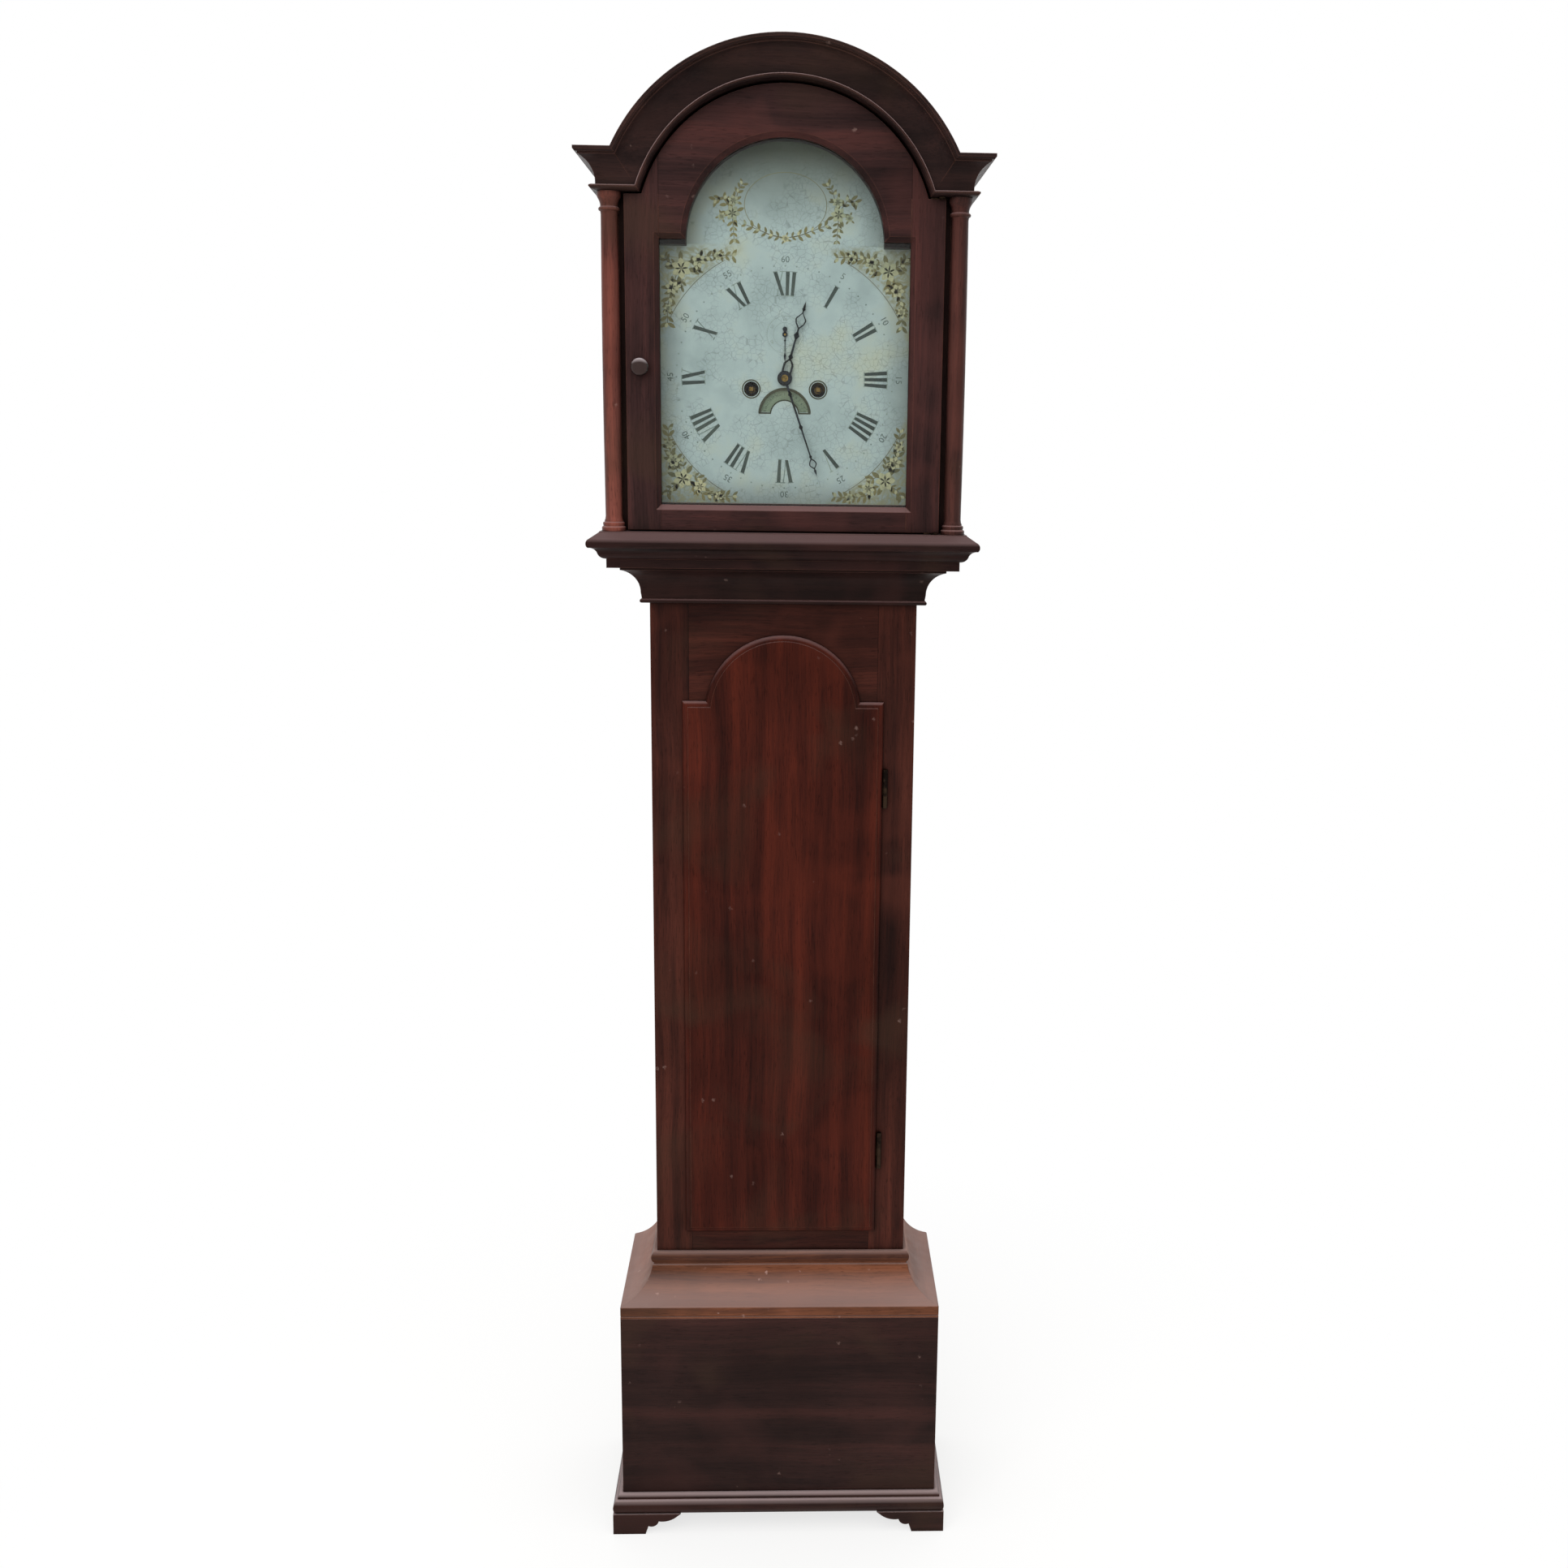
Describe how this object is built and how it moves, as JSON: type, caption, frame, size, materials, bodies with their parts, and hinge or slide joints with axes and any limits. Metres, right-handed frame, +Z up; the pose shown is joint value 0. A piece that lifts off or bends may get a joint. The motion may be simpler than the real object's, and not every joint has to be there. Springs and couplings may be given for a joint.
{
  "type": "longcase clock",
  "caption": "Tall wooden longcase clock with an arched hood, glazed hood door, painted dial, arched trunk door and a pendulum and weights inside.",
  "frame": {"origin": "middle of the bounding box on the floor", "axes": "+X to the viewer's right, front faces -Y, +Z up"},
  "size_m": [0.4836, 0.2458, 1.917],
  "materials": {
    "door_wood": "wax polished oak, straight grain",
    "case_wood": "wax polished oak, dark",
    "plinth_wood": "wax polished oak, cross grain",
    "moulding_wood": "wax polished oak moulding",
    "hood_wood": "wax polished oak",
    "column_wood": "turned and polished",
    "back_wood": "unfinished softwood board",
    "glass": "clear window glass",
    "brass": "lacquered brass",
    "dial_paint": "old cream painted iron",
    "hand_steel": "blued steel",
    "steel": "polished steel",
    "iron": "cast iron",
    "bell_metal": "bell metal",
    "knob_dark": "darkened brass",
    "gut": "gut line"
  },
  "bodies": {
    "case": {"backboard": "back_wood", "trunk_sides": "case_wood", "trunk_frame": "case_wood", "trunk_hinge_leaves": "brass", "plinth_boards": "plinth_wood", "plinth_inside": "back_wood", "base_moulding": "plinth_wood", "bracket_feet": "plinth_wood", "waist_moulding": "moulding_wood", "throat_moulding": "moulding_wood", "seatboard": "back_wood", "dial": "dial_paint", "front_plate": "brass", "back_plate": "brass", "plate_pillars": "brass", "seat_bolts": "steel", "back_cock": "brass", "motion_studs": "steel", "bell": "bell_metal", "bell_stand": "steel", "going_line": "gut", "strike_line": "gut"},
    "trunk_door": {"trunk_door": "door_wood", "trunk_door_knuckles": "brass"},
    "hood": {"hood_base": "hood_wood", "hood_cornice": "hood_wood", "hood_frieze": "hood_wood", "hood_sides": "hood_wood", "hood_roof": "hood_wood", "hood_mask": "hood_wood", "hood_columns": "column_wood", "column_turnings": "column_wood", "hood_door_pins": "brass"},
    "hood_door": {"hood_door_frame": "hood_wood", "hood_door_glass": "glass", "hood_door_knob": "knob_dark", "hood_door_straps": "brass"},
    "centre_arbor": {"centre_wheel": "brass", "cannon_wheel": "brass", "minute_hand": "hand_steel"},
    "minute_wheel": {"minute_wheel": "brass"},
    "hour_pipe": {"hour_wheel": "brass", "hour_hand": "hand_steel"},
    "date_disc": {"date_disc": "dial_paint"},
    "going_great_wheel": {"going_great_wheel": "brass"},
    "third_arbor": {"third_wheel": "brass"},
    "escape_arbor": {"escape_wheel": "brass", "seconds_hand": "hand_steel"},
    "anchor": {"anchor": "steel"},
    "pendulum": {"pendulum_rod": "steel", "pendulum_bob": "brass", "rating_nut": "brass"},
    "going_barrel": {"going_barrel": "brass"},
    "strike_barrel": {"strike_barrel": "brass"},
    "going_weight": {"going_weight": "iron"},
    "going_pulley": {"going_pulley": "brass"},
    "strike_weight": {"strike_weight": "iron"},
    "strike_pulley": {"strike_pulley": "brass"},
    "hammer": {"hammer": "steel"}
  },
  "joints": [
    {"name": "trunk_door_hinge", "type": "hinge", "parent": "case", "child": "trunk_door", "pos_m": [0.1308, -0.0455, 0.785], "axis": [0, 0, 1], "range_deg": [0, 120]},
    {"name": "hood_slide", "type": "slide", "parent": "case", "child": "hood", "axis": [0, -1, 0], "range_m": [0, 0.3]},
    {"name": "hood_door_hinge", "type": "hinge", "parent": "hood", "child": "hood_door", "pos_m": [0.1825, -0.0951, 1.553], "axis": [0, 0, 1], "range_deg": [0, 95]},
    {"name": "minute_turn", "type": "hinge", "parent": "case", "child": "centre_arbor", "pos_m": [0, -0.0176, 1.541], "axis": [0, 1, 0], "continuous": true},
    {"name": "minute_wheel_turn", "type": "hinge", "parent": "case", "child": "minute_wheel", "pos_m": [0.0092, -0.0276, 1.51562], "axis": [0, 1, 0], "continuous": true},
    {"name": "hour_turn", "type": "hinge", "parent": "case", "child": "hour_pipe", "pos_m": [0, -0.0501, 1.541], "axis": [0, 1, 0], "continuous": true},
    {"name": "date_turn", "type": "hinge", "parent": "case", "child": "date_disc", "pos_m": [0, -0.0471, 1.498], "axis": [0, 1, 0], "continuous": true},
    {"name": "great_wheel_turn", "type": "hinge", "parent": "case", "child": "going_great_wheel", "pos_m": [0.0405, -0.0136, 1.528], "axis": [0, 1, 0], "continuous": true},
    {"name": "third_turn", "type": "hinge", "parent": "case", "child": "third_arbor", "pos_m": [0.00842, -0.0176, 1.56865], "axis": [0, 1, 0], "continuous": true},
    {"name": "escape_turn", "type": "hinge", "parent": "case", "child": "escape_arbor", "pos_m": [0, -0.0176, 1.5924], "axis": [0, 1, 0], "continuous": true},
    {"name": "pendulum_swing", "type": "hinge", "parent": "case", "child": "pendulum", "pos_m": [0, 0.0579, 1.618], "axis": [0, 1, 0], "range_deg": [-2.5, 2.5]},
    {"name": "anchor_swing", "type": "hinge", "parent": "case", "child": "anchor", "pos_m": [0, 0.0124, 1.618], "axis": [0, 1, 0], "range_deg": [-2.5, 2.5]},
    {"name": "going_weight_lift", "type": "slide", "parent": "case", "child": "going_weight", "axis": [0, 0, 1], "range_m": [0, 1.07], "deforming": ["going_line"]},
    {"name": "going_pulley_turn", "type": "hinge", "parent": "going_weight", "child": "going_pulley", "pos_m": [0.0385, 0.013, 0.342], "axis": [0, 1, 0], "range_deg": [0, 2925]},
    {"name": "going_barrel_turn", "type": "hinge", "parent": "case", "child": "going_barrel", "pos_m": [0.0405, 0.0024, 1.528], "axis": [0, 1, 0], "range_deg": [0, 5340]},
    {"name": "strike_weight_lift", "type": "slide", "parent": "case", "child": "strike_weight", "axis": [0, 0, 1], "range_m": [0, 1.07], "deforming": ["strike_line"]},
    {"name": "strike_pulley_turn", "type": "hinge", "parent": "strike_weight", "child": "strike_pulley", "pos_m": [-0.0425, 0.013, 0.342], "axis": [0, 1, 0], "range_deg": [0, 2925]},
    {"name": "strike_barrel_turn", "type": "hinge", "parent": "case", "child": "strike_barrel", "pos_m": [-0.0405, 0.0024, 1.528], "axis": [0, 1, 0], "range_deg": [0, 5340]},
    {"name": "hammer_swing", "type": "hinge", "parent": "case", "child": "hammer", "pos_m": [0.072, 0.0044, 1.6], "axis": [0, 1, 0], "range_deg": [0, 8], "stiffness_Nm_per_rad": 0.05, "springref_deg": -14.32}
  ],
  "couplings": [
    {"joint": "minute_wheel_turn", "follows": "minute_turn", "ratio": -1},
    {"joint": "hour_turn", "follows": "minute_turn", "ratio": 0.083333},
    {"joint": "date_turn", "follows": "minute_turn", "ratio": 0.0013441},
    {"joint": "great_wheel_turn", "follows": "minute_turn", "ratio": -0.083333},
    {"joint": "third_turn", "follows": "minute_turn", "ratio": -7.5},
    {"joint": "escape_turn", "follows": "minute_turn", "ratio": 60},
    {"joint": "anchor_swing", "follows": "pendulum_swing", "ratio": 1},
    {"joint": "going_pulley_turn", "follows": "going_weight_lift", "rad_per_m": 47.619},
    {"joint": "going_barrel_turn", "follows": "going_weight_lift", "rad_per_m": 86.957},
    {"joint": "strike_pulley_turn", "follows": "strike_weight_lift", "rad_per_m": 47.619},
    {"joint": "strike_barrel_turn", "follows": "strike_weight_lift", "rad_per_m": 86.957}
  ]
}
